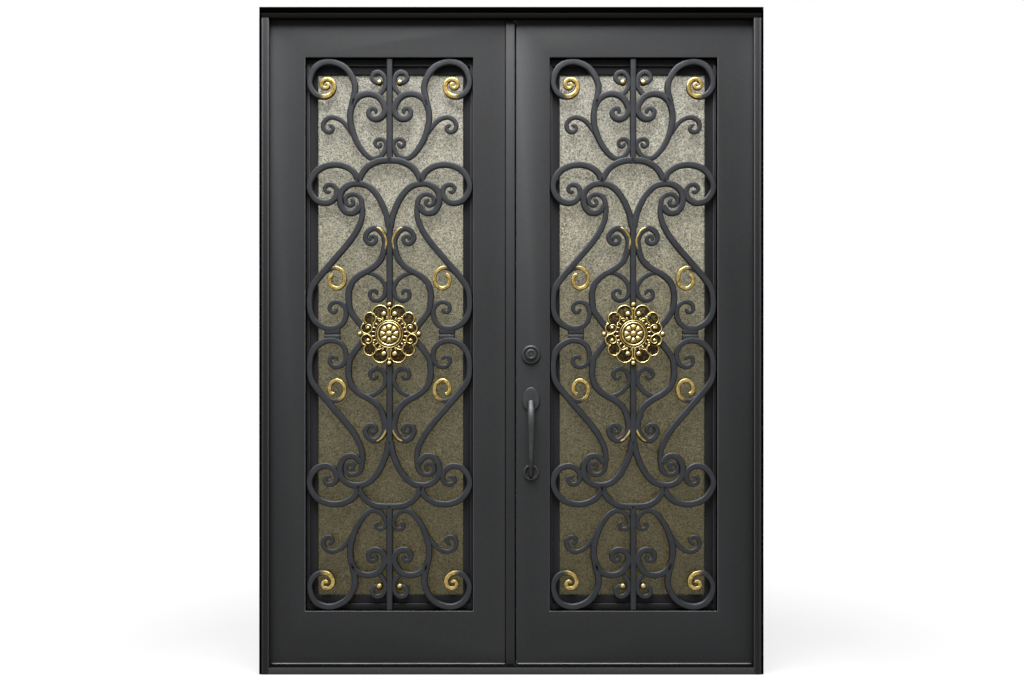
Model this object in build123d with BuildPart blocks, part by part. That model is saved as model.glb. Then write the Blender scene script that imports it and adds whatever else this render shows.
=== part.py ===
"""Wrought iron double entrance door, hung in its own steel frame.

Two inward opening leaves stand between two jambs, a head and a sill. Each leaf is a steel frame round a
tall opening with an obscure glass pane, a grille of forged scrolls in front of it and a gilt medallion at
its centre. The left leaf carries the cover strip over the meeting line, the right one the deadbolt and the
pull handles.

X runs to the right seen from outside, Y runs inwards from the leaves' outer face, and Z runs up from the
floor. Lengths are millimetres.
"""

from build123d import *
from collections import namedtuple
import math
import os

os.makedirs("parts", exist_ok=True)

# Frame
frame_width = 1842.0
frame_height = 2438.0
jamb_sight = 35.0
head_sight = 41.0
side_band = 9.0
head_band = 24.0
band_setback = 4.0
arris_chamfer = 3.0
groove_width = 3.0
groove_inset = 5.0
leaf_recess = 28.0
stop_gap = 5.0
stop_lap = 10.0
sill_lip_height = 24.5
sill_lip_thickness = 6.0
sill_plate_height = 12.0
anchor_hole_radius = 5.25
anchor_hole_inset = 400.0

# Weather seals on the stops
seal_width = 6.0
seal_clearance = 0.6
seal_end_gap = 8.0

# Leaves
leaf_thickness = 54.0
edge_gap = 6.0
leaf_bottom = 32.0
meeting_gap = 6.0
meeting_offset = 15.0
hinge_stile_width = 138.0
meeting_stile_width = 122.5
top_rail_height = 144.0
bottom_rail_height = 195.0

# Cover strip and seal at the meeting line
strip_width = 32.0
strip_thickness = 6.0
strip_top_gap = 5.0
strip_groove_width = 3.5
strip_groove_depth = 12.0
meeting_seal_reach = 2.5
meeting_seal_thickness = 8.0
meeting_seal_inset = 8.0

# Sweep and drip bar under each leaf
sweep_thickness = 8.0
sweep_inset = 4.0
sweep_gap = 5.0
sweep_end_gap = 4.5
drip_size = 4.0
drip_end_gap = 5.0

# Ledge, sash and glass in each opening
ledge_side = 11.5
ledge_end = 23.5
ledge_depth = 24.0
ledge_thickness = 8.0
ledge_joint = 0.5
sash_clearance = 3.0
sash_side = 39.0
sash_end = 52.0
glass_depth = 42.0
glass_thickness = 6.0
glass_bite = 10.0
glass_clearance = 0.3

# Grille, whose bar widths are shares of the opening's half width
grille_depth = 18.0
bar_share = 0.0615
curl_share = 0.0453
tip_share = 0.0291
eye_share = 0.0259
bud_share = 0.0375
bud_sides = 8
scroll_height_share = 1.008
collar_width = 60.0
chord_sag = 2.0

# Medallion
medal_radius = 111.0
medal_disc_share = 0.56
medal_ring_share = 0.4
medal_ring_width = 8.0
medal_plate = 4.0
medal_relief = 4.0
medal_rim = 6.0
medal_boss_share = 0.28
medal_boss_rise = 11.0
medal_boss_slope = 45.0
medal_loop_band = 6.0
medal_tip_share = 0.09
medal_tips = 4

# Hinges
hinge_heights_share = (0.11, 0.5, 0.89)
barrel_radius = 11.0
barrel_offset = 12.0
knuckle_length = 56.0
knuckle_gap = 0.6
pin_radius = 6.0
pin_clearance = 0.08
pin_length = 48.0
tab_thickness = 5.0
frame_tab_width = 20.0
leaf_tab_width = 42.0

# Deadbolt and pulls on the right leaf
lock_backset = 54.0
deadbolt_rise = 163.0
rose_radius = 35.5
rose_thickness = 9.0
cylinder_radius = 20.5
cylinder_length = 9.0
turn_width = 9.0
turn_length = 34.0
turn_projection = 22.0
pull_bottom = 736.0
pull_centres = 270.0
pull_projection = 56.0
grip_width = 27.0
grip_neck = 18.0
grip_thickness = 17.0
plate_width = 66.0
plate_height = 88.0
plate_thickness = 8.0
plate_arris = 2.0
pull_rose_radius = 30.0

# Sizes that follow from the ones above
frame_edge = frame_width / 2
face_edge = frame_edge - side_band
stop_edge = frame_edge - jamb_sight
leaf_edge = stop_edge + stop_lap
rebate_edge = leaf_edge + edge_gap
frame_front = -leaf_recess
band_front = frame_front + band_setback
stop_back = -stop_gap
head_stop = frame_height - head_sight
head_face = frame_height - head_band
leaf_top = head_stop + stop_lap
head_rebate = leaf_top + edge_gap
left_meeting = meeting_offset - meeting_gap / 2
right_meeting = meeting_offset + meeting_gap / 2
lite_outer = leaf_edge - hinge_stile_width
lite_inner = right_meeting + meeting_stile_width
lite_width = lite_outer - lite_inner
lite_offset = lite_inner + lite_width / 2
lite_bottom = leaf_bottom + bottom_rail_height
lite_top = leaf_top - top_rail_height
lite_height = lite_top - lite_bottom
half_lite = lite_width / 2
half_lite_height = lite_height / 2
lite_middle = lite_bottom + half_lite_height
bar_width = bar_share * half_lite
curl_width = curl_share * half_lite
tip_width = tip_share * half_lite
eye_radius = eye_share * half_lite
bud_radius = bud_share * half_lite
scroll_height = scroll_height_share * half_lite_height
medal_ring_radius = medal_ring_share * medal_radius
medal_tip_radius = medal_tip_share * medal_radius
strip_edge = left_meeting - strip_width
hinge_x = leaf_edge + edge_gap / 2
hinge_y = leaf_thickness + barrel_offset
ledge_back = ledge_depth + ledge_thickness
lock_x = right_meeting + lock_backset
pull_top = pull_bottom + pull_centres
deadbolt_height = pull_top + deadbolt_rise


def mean(a, b):
    """The value half way between two others."""
    return (a + b) / 2


def save(piece, name):
    """Label a finished piece and write it as its own file."""
    piece.part.label = name
    export_step(piece.part, f"parts/{name}.step")


def bar(x_ends, y_ends, z_ends, mode=Mode.ADD):
    """Add a square bar between the given ends to the piece being built, or cut one out of it."""
    limits = [sorted(ends) for ends in (x_ends, y_ends, z_ends)]
    with Locations(tuple(mean(low, high) for low, high in limits)):
        Box(*(high - low for low, high in limits), mode=mode)


def outline(points):
    """Add the face inside a closed polyline to the sketch being built."""
    with BuildLine() as edge:
        Polyline(*points, close=True)
    make_face(edge.edges())


def facade_plane(x, y, z):
    """A plane parallel to the leaves: its x runs right, its y up and its normal outwards."""
    return Plane(origin=(x, y, z), x_dir=(1, 0, 0), z_dir=(0, -1, 0))


# Frame: jambs with a stop, a groove and an outer band that is set back
def jamb(side, name):
    groove_middle = face_edge - groove_inset
    section = [
        (frame_edge, band_front),
        (face_edge, band_front),
        (face_edge, frame_front),
        (groove_middle + groove_width / 2, frame_front),
        (groove_middle, frame_front + groove_width / 2),
        (groove_middle - groove_width / 2, frame_front),
        (stop_edge + arris_chamfer, frame_front),
        (stop_edge, frame_front + arris_chamfer),
        (stop_edge, stop_back),
        (rebate_edge, stop_back),
        (rebate_edge, leaf_thickness),
        (frame_edge, leaf_thickness),
    ]
    with BuildPart() as piece:
        with BuildSketch(Plane.XY):
            outline([(side * x, y) for x, y in section])
        extrude(amount=head_stop)
        bar((side * rebate_edge, side * frame_edge), (stop_back, leaf_thickness), (head_stop, head_rebate))
        side_face = (side * frame_edge, leaf_thickness / 2, 0)
        with BuildSketch(Plane(origin=side_face, x_dir=(0, 1, 0), z_dir=(side, 0, 0))):
            for height in (anchor_hole_inset, frame_height - anchor_hole_inset):
                with Locations((0, side * height)):
                    Circle(anchor_hole_radius)
        extrude(amount=rebate_edge - frame_edge, mode=Mode.SUBTRACT)
    save(piece, name)


jamb(-1, "left_jamb")
jamb(1, "right_jamb")

with BuildPart() as head_jamb:
    with BuildSketch(Plane.YZ.offset(-frame_edge)):
        outline(
            [
                (band_front, frame_height),
                (band_front, head_face),
                (frame_front, head_face),
                (frame_front, head_stop + arris_chamfer),
                (frame_front + arris_chamfer, head_stop),
                (stop_back, head_stop),
                (stop_back, head_rebate),
                (leaf_thickness, head_rebate),
                (leaf_thickness, frame_height),
            ]
        )
    extrude(amount=frame_width)
    for side in (-1, 1):
        with BuildSketch(Plane.XY.offset(head_stop)):
            with Locations((side * mean(face_edge, frame_edge), mean(frame_front, band_front))):
                Rectangle(side_band, band_setback)
        extrude(amount=head_face - head_stop, mode=Mode.SUBTRACT)
save(head_jamb, "head_jamb")

with BuildPart() as sill:
    bar((-stop_edge, stop_edge), (frame_front, stop_back), (0, sill_plate_height))
    bar((-rebate_edge, rebate_edge), (stop_back, leaf_thickness), (0, sill_plate_height))
    bar(
        (-stop_edge, stop_edge),
        (frame_front, frame_front + sill_lip_thickness),
        (0, sill_lip_height),
    )
save(sill, "sill")

with BuildPart() as weather_seals:
    seal_depth = (stop_back, -seal_clearance)
    seal_middle = mean(stop_edge, leaf_edge)
    head_seal = head_stop + seal_middle - stop_edge
    for side in (-1, 1):
        bar(
            (side * (seal_middle - seal_width / 2), side * (seal_middle + seal_width / 2)),
            seal_depth,
            (leaf_bottom + seal_end_gap, head_stop - seal_end_gap),
        )
    bar(
        (seal_end_gap - stop_edge, stop_edge - seal_end_gap),
        seal_depth,
        (head_seal - seal_width / 2, head_seal + seal_width / 2),
    )
save(weather_seals, "weather_seals")


# Barrel hinges: a knuckle with a fixed pin on the jamb, and a bored knuckle over it on the leaf
def hinge_set(side, frame_name, leaf_name):
    hinge_levels = [leaf_bottom + share * (leaf_top - leaf_bottom) for share in hinge_heights_share]
    with BuildPart() as fixed:
        for level in hinge_levels:
            with BuildSketch(Plane.XY.offset(level - knuckle_length)):
                with Locations((side * hinge_x, hinge_y)):
                    Circle(barrel_radius)
                outline(tab_outline(side, frame_tab_width))
            extrude(amount=knuckle_length)
            with BuildSketch(Plane.XY.offset(level)):
                with Locations((side * hinge_x, hinge_y)):
                    Circle(pin_radius)
            extrude(amount=pin_length)
    save(fixed, frame_name)
    with BuildPart() as moving:
        for level in hinge_levels:
            with BuildSketch(Plane.XY.offset(level + knuckle_gap)):
                with Locations((side * hinge_x, hinge_y)):
                    Circle(barrel_radius)
                outline(tab_outline(side, -leaf_tab_width))
                with Locations((side * hinge_x, hinge_y)):
                    Circle(pin_radius + pin_clearance, mode=Mode.SUBTRACT)
            extrude(amount=knuckle_length)
    save(moving, leaf_name)


def tab_outline(side, reach):
    """A weld tab that lies on the inner face beside the barrel, outwards or inwards of the hinge line."""
    end = hinge_x + reach
    root = leaf_thickness + tab_thickness
    return [
        (side * hinge_x, leaf_thickness),
        (side * end, leaf_thickness),
        (side * end, root),
        (side * hinge_x, root),
    ]


hinge_set(-1, "left_frame_hinges", "left_leaf_hinges")
hinge_set(1, "right_frame_hinges", "right_leaf_hinges")

# Scroll bars of one quarter of the grille. Places are shares of the opening's half width, counted from the
# middle bar, and of its half height, counted from the medallion. A curl winds in from the nearest end of the
# body round its eye, with the given number of turns, counted anticlockwise.
Curl = namedtuple("Curl", "eye_share turns")
Scroll = namedtuple("Scroll", "width head body_shares tail")
scroll_shares = {
    "corner": Scroll(
        bar_width,
        Curl((0.762, 0.896), -1.45),
        [
            (0.955, 0.906), (0.92, 0.946), (0.838, 0.971), (0.715, 0.98), (0.586, 0.969), (0.491, 0.946),
            (0.425, 0.909), (0.414, 0.878), (0.446, 0.832), (0.472, 0.789), (0.458, 0.746), (0.396, 0.694),
            (0.301, 0.652), (0.206, 0.633), (0.102, 0.643), (0.046, 0.672),
        ],
        Curl((0.13, 0.685), -0.85),
    ),
    "lyre": Scroll(
        bar_width,
        None,
        [
            (0.446, 0.823), (0.415, 0.843), (0.344, 0.86), (0.249, 0.866), (0.154, 0.858), (0.088, 0.837),
            (0.054, 0.808),
        ],
        Curl((0.192, 0.802), 1.05),
    ),
    "bud": Scroll(
        curl_width,
        None,
        [
            (0.13, 0.86), (0.066, 0.885), (0.05, 0.908), (0.074, 0.931), (0.13, 0.943), (0.187, 0.938),
            (0.211, 0.923), (0.183, 0.91), (0.13, 0.905),
        ],
        None,
    ),
    "side_curl": Scroll(
        curl_width,
        None,
        [
            (0.452, 0.723), (0.501, 0.744), (0.567, 0.767), (0.639, 0.779), (0.705, 0.781), (0.767, 0.771),
            (0.795, 0.754),
        ],
        Curl((0.715, 0.744), -0.85),
    ),
    "arch": Scroll(
        bar_width,
        None,
        [(0.377, 0.546), (0.33, 0.578), (0.263, 0.601), (0.168, 0.615), (0.0, 0.618)],
        None,
    ),
    "shoulder": Scroll(
        bar_width,
        None,
        [
            (0.373, 0.548), (0.425, 0.583), (0.548, 0.606), (0.7, 0.61), (0.852, 0.592), (0.945, 0.553),
            (0.95, 0.516), (0.871, 0.482), (0.757, 0.473),
        ],
        Curl((0.734, 0.52), -1.0),
    ),
    "heart": Scroll(
        bar_width,
        None,
        [
            (0.012, 0.385), (0.045, 0.434), (0.13, 0.491), (0.244, 0.53), (0.373, 0.543), (0.491, 0.537),
            (0.577, 0.512), (0.591, 0.474), (0.491, 0.439), (0.406, 0.448), (0.345, 0.468),
        ],
        None,
    ),
    "stem": Scroll(
        bar_width,
        Curl((0.465, 0.477), -0.95),
        [
            (0.33, 0.463), (0.325, 0.437), (0.349, 0.402), (0.415, 0.362), (0.52, 0.319), (0.634, 0.279),
            (0.86, 0.199), (0.936, 0.163), (0.955, 0.126), (0.95, 0.087), (0.913, 0.057), (0.837, 0.034),
            (0.739, 0.022), (0.632, 0.025), (0.556, 0.042), (0.522, 0.068),
        ],
        Curl((0.663, 0.09), -0.72),
    ),
    "vine": Scroll(
        bar_width,
        None,
        [
            (0.29, 0.014), (0.351, 0.036), (0.412, 0.059), (0.473, 0.089), (0.49, 0.126), (0.487, 0.153),
            (0.45, 0.186), (0.359, 0.213), (0.245, 0.232), (0.154, 0.252), (0.093, 0.278), (0.054, 0.325),
            (0.067, 0.352), (0.121, 0.374), (0.187, 0.383), (0.259, 0.375), (0.301, 0.356),
        ],
        Curl((0.24, 0.348), -0.7),
    ),
    "bloom": Scroll(
        curl_width,
        None,
        [(0.29, 0.222), (0.23, 0.221), (0.161, 0.212), (0.1, 0.197), (0.056, 0.176), (0.048, 0.158)],
        Curl((0.195, 0.142), 1.0),
    ),
    "tendril": Scroll(
        curl_width,
        None,
        [
            (0.79, 0.22), (0.701, 0.237), (0.632, 0.239), (0.564, 0.226), (0.535, 0.202), (0.556, 0.178),
            (0.628, 0.165), (0.697, 0.175), (0.717, 0.195), (0.697, 0.21),
        ],
        None,
    ),
}
bud_ball_share = (0.122, 0.905)
collar_middle_share = 0.684
stem_foot_share = 0.022
arch_crown_share = 0.618
heart_foot_share = 0.385
curl_steps_per_turn = 8
curve_samples = 160
taper_share = 0.3
quarter_turn = 90


def placed(share):
    """The place of a share of the quarter, in millimetres from the grille's middle."""
    return (share[0] * half_lite, share[1] * scroll_height)


def curl_points(start, curl):
    """Points of the logarithmic spiral that winds from the start round the curl's eye."""
    eye = placed(curl.eye_share)
    reach = math.dist(start, eye)
    first = math.atan2(start[1] - eye[1], start[0] - eye[0])
    steps = math.ceil(abs(curl.turns) * curl_steps_per_turn)
    points = []
    for step in range(1, steps + 1):
        share = step / steps
        radius = reach * (eye_radius / reach) ** share
        angle = first + math.tau * curl.turns * share
        points.append((eye[0] + radius * math.cos(angle), eye[1] + radius * math.sin(angle)))
    return points


def scroll_points(scroll):
    """All the points that the middle line of a scroll passes through."""
    body = [placed(share) for share in scroll.body_shares]
    head = curl_points(body[0], scroll.head) if scroll.head else []
    tail = curl_points(body[-1], scroll.tail) if scroll.tail else []
    return head[::-1] + body + tail


def off_chord(point, start, end):
    """How far a point lies from the straight line between two others."""
    run = (end[0] - start[0], end[1] - start[1])
    across = (point[0] - start[0]) * run[1] - (point[1] - start[1]) * run[0]
    return abs(across) / math.hypot(*run)


def flat_stations(points):
    """The fewest stations along a curve whose chords stay within the sag."""
    kept = [0]
    while kept[-1] < len(points) - 1:
        start = kept[-1]
        end = start + 1
        while end + 1 < len(points) and all(
            off_chord(points[between], points[start], points[end + 1]) < chord_sag
            for between in range(start + 1, end + 1)
        ):
            end += 1
        kept.append(end)
    return kept


def width_along(scroll, share):
    """The bar's width at a share of its length: full in the body, drawn out thin towards a curled end."""
    ends = [share / taper_share] if scroll.head else []
    ends += [(1 - share) / taper_share] if scroll.tail else []
    full = min([1.0] + ends)
    return tip_width + (scroll.width - tip_width) * full


def strip(scroll):
    """The outline of one scroll bar, as a closed strip of straight facets."""
    curve = Spline(*scroll_points(scroll), mode=Mode.PRIVATE)
    samples = [curve.position_at(step / curve_samples) for step in range(curve_samples + 1)]
    stations = flat_stations([(point.X, point.Y) for point in samples])
    outer, inner = [], []
    for station in stations:
        share = station / curve_samples
        across = curve.tangent_at(share).rotate(Axis.Z, quarter_turn) * (width_along(scroll, share) / 2)
        outer.append(tuple(samples[station] + across)[:2])
        inner.append(tuple(samples[station] - across)[:2])
    return outer + inner[::-1]


strips = [strip(scroll) for scroll in scroll_shares.values()]


# Grille: the quarter's strips fused, mirrored across and down, and joined by the middle bars and collars
def grille(middle, name):
    with BuildPart() as piece:
        with BuildSketch(facade_plane(middle, ledge_depth, lite_middle)):
            for points in strips:
                outline(points)
            with Locations(placed(bud_ball_share)):
                RegularPolygon(bud_radius, bud_sides)
            mirror(about=Plane.YZ)
            mirror(about=Plane.XZ)
            for side in (-1, 1):
                with Locations((side * collar_middle_share * half_lite, 0)):
                    Rectangle(collar_width, 2 * stem_foot_share * scroll_height)
                crown = arch_crown_share * scroll_height
                top = half_lite_height - ledge_end / 2
                with Locations((0, side * mean(crown, top))):
                    Rectangle(bar_width, top - crown)
            foot = heart_foot_share * scroll_height
            Rectangle(bar_width, foot + foot)
        extrude(amount=grille_depth)
    save(piece, name)


grille(-lite_offset, "left_grille")
grille(lite_offset, "right_grille")


# Medallion: a lobed plate with raised loops, a ringed boss and a ball at each of its four points
loop_places_share = ((0.28, 0.69, 0.26), (0.63, 0.51, 0.2), (0.73, 0.2, 0.19))
loop_sides = 10
tip_sides = 8


def lobes(width):
    """Add the loops of all four quarters, as rims of the given width or as full lobes where it is 0."""
    for x_share, y_share, radius_share in loop_places_share:
        radius = radius_share * medal_radius
        with Locations((x_share * medal_radius, y_share * medal_radius)):
            RegularPolygon(radius, loop_sides)
            if width:
                RegularPolygon(radius - width, loop_sides, mode=Mode.SUBTRACT)
    mirror(about=Plane.YZ)
    mirror(about=Plane.XZ)


def medallion(middle, name):
    grille_front = ledge_depth - grille_depth
    plate_front = facade_plane(middle, grille_front - medal_plate, lite_middle)
    with BuildPart() as piece:
        with BuildSketch(facade_plane(middle, grille_front, lite_middle)):
            lobes(0)
            Circle(medal_disc_share * medal_radius)
            tip_reach = medal_radius - medal_tip_radius
            Rectangle(medal_tip_radius, 2 * tip_reach)
            Rectangle(2 * tip_reach, medal_tip_radius)
            with PolarLocations(tip_reach, medal_tips):
                RegularPolygon(medal_tip_radius, tip_sides)
        extrude(amount=medal_plate)
        with BuildSketch(plate_front):
            lobes(medal_loop_band)
        extrude(amount=medal_relief)
        with BuildSketch(plate_front):
            Circle(medal_ring_radius)
            Circle(medal_ring_radius - medal_ring_width, mode=Mode.SUBTRACT)
        extrude(amount=medal_rim)
        with BuildSketch(plate_front):
            Circle(medal_boss_share * medal_radius)
        extrude(amount=medal_boss_rise, taper=medal_boss_slope)
    save(piece, name)


medallion(-lite_offset, "left_medallion")
medallion(lite_offset, "right_medallion")


# Leaf frame: stiles and rails round the opening, with what closes the opening behind the grille
def leaf_pieces(side, side_name, meeting_edge):
    depth = (0, leaf_thickness)
    with BuildPart() as hinge_stile:
        bar((side * lite_outer, side * leaf_edge), depth, (leaf_bottom, leaf_top))
    save(hinge_stile, f"{side_name}_hinge_stile")
    with BuildPart() as meeting_stile:
        bar((side * lite_inner, meeting_edge), depth, (leaf_bottom, leaf_top))
        if side < 0:
            groove = (strip_edge - strip_groove_width, strip_edge)
            bar(groove, (0, strip_groove_depth), (leaf_bottom, leaf_top), mode=Mode.SUBTRACT)
    save(meeting_stile, f"{side_name}_meeting_stile")
    with BuildPart() as top_rail:
        bar((side * lite_inner, side * lite_outer), depth, (lite_top, leaf_top))
    save(top_rail, f"{side_name}_top_rail")
    with BuildPart() as bottom_rail:
        bar((side * lite_inner, side * lite_outer), depth, (leaf_bottom, lite_bottom))
    save(bottom_rail, f"{side_name}_bottom_rail")

    with BuildPart() as lite_ledge:
        ledge = (ledge_depth, ledge_back)
        bar((side * lite_inner, side * (lite_inner + ledge_side)), ledge, (lite_bottom, lite_top))
        bar((side * lite_outer, side * (lite_outer - ledge_side)), ledge, (lite_bottom, lite_top))
        ledge_gap = ledge_side + ledge_joint
        between = (side * (lite_inner + ledge_gap), side * (lite_outer - ledge_gap))
        bar(between, ledge, (lite_bottom, lite_bottom + ledge_end))
        bar(between, ledge, (lite_top - ledge_end, lite_top))
    save(lite_ledge, f"{side_name}_lite_ledge")

    bottom_edge = sill_plate_height + sweep_gap
    sweep_ends = (side * (leaf_edge - sweep_end_gap), meeting_edge + side * sweep_end_gap)
    with BuildPart() as door_sweep:
        bar(sweep_ends, (sweep_inset, sweep_inset + sweep_thickness), (bottom_edge, leaf_bottom))
    save(door_sweep, f"{side_name}_door_sweep")
    clear_of_strip = strip_edge if side < 0 else right_meeting
    drip_ends = (side * (stop_edge - drip_end_gap), clear_of_strip + side * drip_end_gap)
    with BuildPart() as drip_bar:
        bar(drip_ends, (-drip_size, 0), (leaf_bottom, leaf_bottom + drip_size))
    save(drip_bar, f"{side_name}_drip_bar")


# Glazing: a sash ring behind the ledge, the pane in its rebate and the bead that holds the pane
def glazing(middle, side_name):
    sash_width = lite_width - 2 * sash_clearance
    sash_height = lite_height - 2 * sash_clearance
    sight_width = lite_width - 2 * sash_side
    sight_height = lite_height - 2 * sash_end
    rebate_width = sight_width + 2 * glass_bite
    rebate_height = sight_height + 2 * glass_bite
    with BuildPart() as sash:
        with BuildSketch(facade_plane(middle, leaf_thickness, lite_middle)):
            Rectangle(sash_width, sash_height)
            Rectangle(rebate_width, rebate_height, mode=Mode.SUBTRACT)
        extrude(amount=leaf_thickness - glass_depth)
        with BuildSketch(facade_plane(middle, glass_depth, lite_middle)):
            Rectangle(sash_width, sash_height)
            Rectangle(sight_width, sight_height, mode=Mode.SUBTRACT)
        extrude(amount=glass_depth - ledge_back)
    save(sash, f"{side_name}_sash")
    pane_width = rebate_width - 2 * glass_clearance
    pane_height = rebate_height - 2 * glass_clearance
    with BuildPart() as glass:
        with BuildSketch(facade_plane(middle, glass_depth + glass_thickness, lite_middle)):
            Rectangle(pane_width, pane_height)
        extrude(amount=glass_thickness)
    save(glass, f"{side_name}_glass")
    with BuildPart() as glazing_bead:
        with BuildSketch(facade_plane(middle, leaf_thickness, lite_middle)):
            Rectangle(pane_width, pane_height)
            Rectangle(sight_width, sight_height, mode=Mode.SUBTRACT)
        extrude(amount=leaf_thickness - glass_depth - glass_thickness)
    save(glazing_bead, f"{side_name}_glazing_bead")


leaf_pieces(-1, "left", left_meeting)
leaf_pieces(1, "right", right_meeting)
glazing(-lite_offset, "left")
glazing(lite_offset, "right")

with BuildPart() as cover_strip:
    bar((strip_edge, left_meeting), (-strip_thickness, 0), (leaf_bottom, head_stop - strip_top_gap))
save(cover_strip, "cover_strip")

with BuildPart() as meeting_seal:
    seal_back = leaf_thickness - meeting_seal_inset
    bar(
        (left_meeting, left_meeting + meeting_seal_reach),
        (seal_back - meeting_seal_thickness, seal_back),
        (leaf_bottom, leaf_top),
    )
save(meeting_seal, "meeting_seal")


# Lock furniture, on the outer face with outwards -1 and on the inner face with outwards 1. A turned profile
# is given as shares of its radius and of its thickness.
rose_shares = ((0, 0), (1, 0), (1, 0.4), (0.96, 0.55), (0.83, 0.55), (0.77, 0.9), (0.7, 1), (0, 1))
cylinder_shares = ((0, 0), (1, 0), (1, 0.5), (0.88, 0.75), (0.7, 0.75), (0.6, 1), (0, 1))
ring_rose_shares = ((0, 0), (1, 0), (1, 0.5), (0.92, 0.9), (0.82, 1), (0.7, 0.9), (0.6, 0.55), (0, 0.55))
ring_dish_share = 0.55
full_turn = 360


def turned(face, outwards, height, radius, thickness, shares):
    """Add a piece that is turned round the lock's line and stands on a face of the leaf."""
    with BuildSketch(Plane(origin=(lock_x, face, height))) as profile:
        outline([(across * radius, outwards * rise * thickness) for across, rise in shares])
    revolve(profile.sketch, axis=Axis((lock_x, face, height), (0, 1, 0)), revolution_arc=full_turn)


with BuildPart() as deadbolt_rose:
    turned(0, -1, deadbolt_height, rose_radius, rose_thickness, rose_shares)
save(deadbolt_rose, "deadbolt_rose")

with BuildPart() as deadbolt_cylinder:
    turned(-rose_thickness, -1, deadbolt_height, cylinder_radius, cylinder_length, cylinder_shares)
save(deadbolt_cylinder, "deadbolt_cylinder")

with BuildPart() as thumbturn_rose:
    turned(leaf_thickness, 1, deadbolt_height, rose_radius, rose_thickness, rose_shares)
save(thumbturn_rose, "thumbturn_rose")

with BuildPart() as thumbturn:
    with BuildSketch(facade_plane(lock_x, leaf_thickness + rose_thickness, deadbolt_height)):
        Ellipse(turn_width / 2, turn_length / 2)
    extrude(amount=-turn_projection)
save(thumbturn, "thumbturn")


# Pulls: an oval plate above, a dished rose below and a grip that bows between them
grip_bend_share = 0.2
grip_root_share = 0.07
grip_foot_share = 0.05


def pull(face, outwards, prefix):
    with BuildPart() as pull_plate:
        with BuildSketch(facade_plane(lock_x, face, pull_top)):
            Ellipse(plate_width / 2, plate_height / 2)
        extrude(amount=-outwards * plate_thickness)
        free_edge = edges().filter_by(GeomType.ELLIPSE).sort_by(Axis.Y)[-1 if outwards > 0 else 0]
        chamfer(free_edge, plate_arris)
    save(pull_plate, f"{prefix}_plate")
    with BuildPart() as pull_rose:
        turned(face, outwards, pull_bottom, pull_rose_radius, plate_thickness, ring_rose_shares)
    save(pull_rose, f"{prefix}_rose")
    top_root = face + outwards * plate_thickness
    low_root = face + outwards * plate_thickness * ring_dish_share
    back = face + outwards * (pull_projection - grip_thickness)
    front = face + outwards * pull_projection
    half_root = grip_root_share * pull_centres
    half_foot = grip_foot_share * pull_centres
    bend = grip_bend_share * pull_centres
    off_and_back = ((outwards, 0), (-outwards, 0))
    with BuildPart() as grip:
        with BuildSketch(Plane.YZ.offset(lock_x - grip_width / 2)):
            with BuildLine():
                Spline(
                    (top_root, pull_top + half_root),
                    (front, pull_top - bend),
                    (front, pull_bottom + bend),
                    (low_root, pull_bottom - half_foot),
                    tangents=off_and_back,
                )
                Line((low_root, pull_bottom - half_foot), (low_root, pull_bottom + half_foot))
                Spline(
                    (low_root, pull_bottom + half_foot),
                    (back, pull_bottom + bend),
                    (back, pull_top - bend),
                    (top_root, pull_top - half_root),
                    tangents=off_and_back,
                )
                Line((top_root, pull_top - half_root), (top_root, pull_top + half_root))
            make_face()
        extrude(amount=grip_width)
        half_side = [
            (grip_neck / 2, pull_bottom - half_foot),
            (grip_neck / 2, pull_bottom + bend),
            (grip_width / 2, pull_top - bend),
            (grip_width / 2, pull_top),
            (grip_neck / 2, pull_top + half_root),
        ]
        with BuildSketch(facade_plane(lock_x, 0, 0)):
            outline(half_side + [(-across, height) for across, height in reversed(half_side)])
        extrude(amount=-outwards * (abs(front) + grip_width), mode=Mode.INTERSECT)
    save(grip, f"{prefix}_grip")


pull(0, -1, "outer_pull")
pull(leaf_thickness, 1, "inner_pull")
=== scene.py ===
# %% [markdown]
# # A pair of wrought iron doors
# This lesson dresses a tall double entrance door. The sizes and the hinges come from the CAD model, which is loaded
# first and never moved. Each step below makes one group of pieces, says how it could be made, and prints what it made.

# %% Load the shared frame
import math
from collections import namedtuple

import bmesh
import bpy
from mathutils import Matrix, Vector


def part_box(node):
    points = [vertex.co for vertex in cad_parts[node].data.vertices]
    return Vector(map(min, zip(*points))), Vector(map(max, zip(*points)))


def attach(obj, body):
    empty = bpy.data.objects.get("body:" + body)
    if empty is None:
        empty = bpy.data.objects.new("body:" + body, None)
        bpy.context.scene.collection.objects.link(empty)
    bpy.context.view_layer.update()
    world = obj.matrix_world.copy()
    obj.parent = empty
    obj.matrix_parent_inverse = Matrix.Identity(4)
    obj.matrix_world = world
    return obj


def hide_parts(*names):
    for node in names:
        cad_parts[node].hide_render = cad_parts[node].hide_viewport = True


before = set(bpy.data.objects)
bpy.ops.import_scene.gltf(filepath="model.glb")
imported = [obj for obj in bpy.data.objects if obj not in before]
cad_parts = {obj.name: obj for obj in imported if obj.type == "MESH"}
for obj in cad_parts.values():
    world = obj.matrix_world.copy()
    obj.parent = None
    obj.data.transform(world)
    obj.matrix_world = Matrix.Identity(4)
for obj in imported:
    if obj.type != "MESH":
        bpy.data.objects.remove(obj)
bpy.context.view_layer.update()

mm, sides = 0.001, ("left", "right")

# %% [markdown]
# ## Small tools
# A piece is a mesh at the origin with its place in its own points. It rides on a body and stands for CAD nodes.
# Sheet metal never has a truly sharp edge, so the straight CAD bars are copied, cleaned and given a narrow round arris
# that catches the light. A bevel along all edges does that, where a bump in the material would not change the outline.


# %% Pieces
def measured(lengths, digits=3):
    """Lengths rounded for printing."""
    return [round(length, digits) for length in lengths]


def told(obj):
    """Print the size of a new piece."""
    print(obj.name, len(obj.data.polygons), "faces", measured(obj.dimensions))


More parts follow.
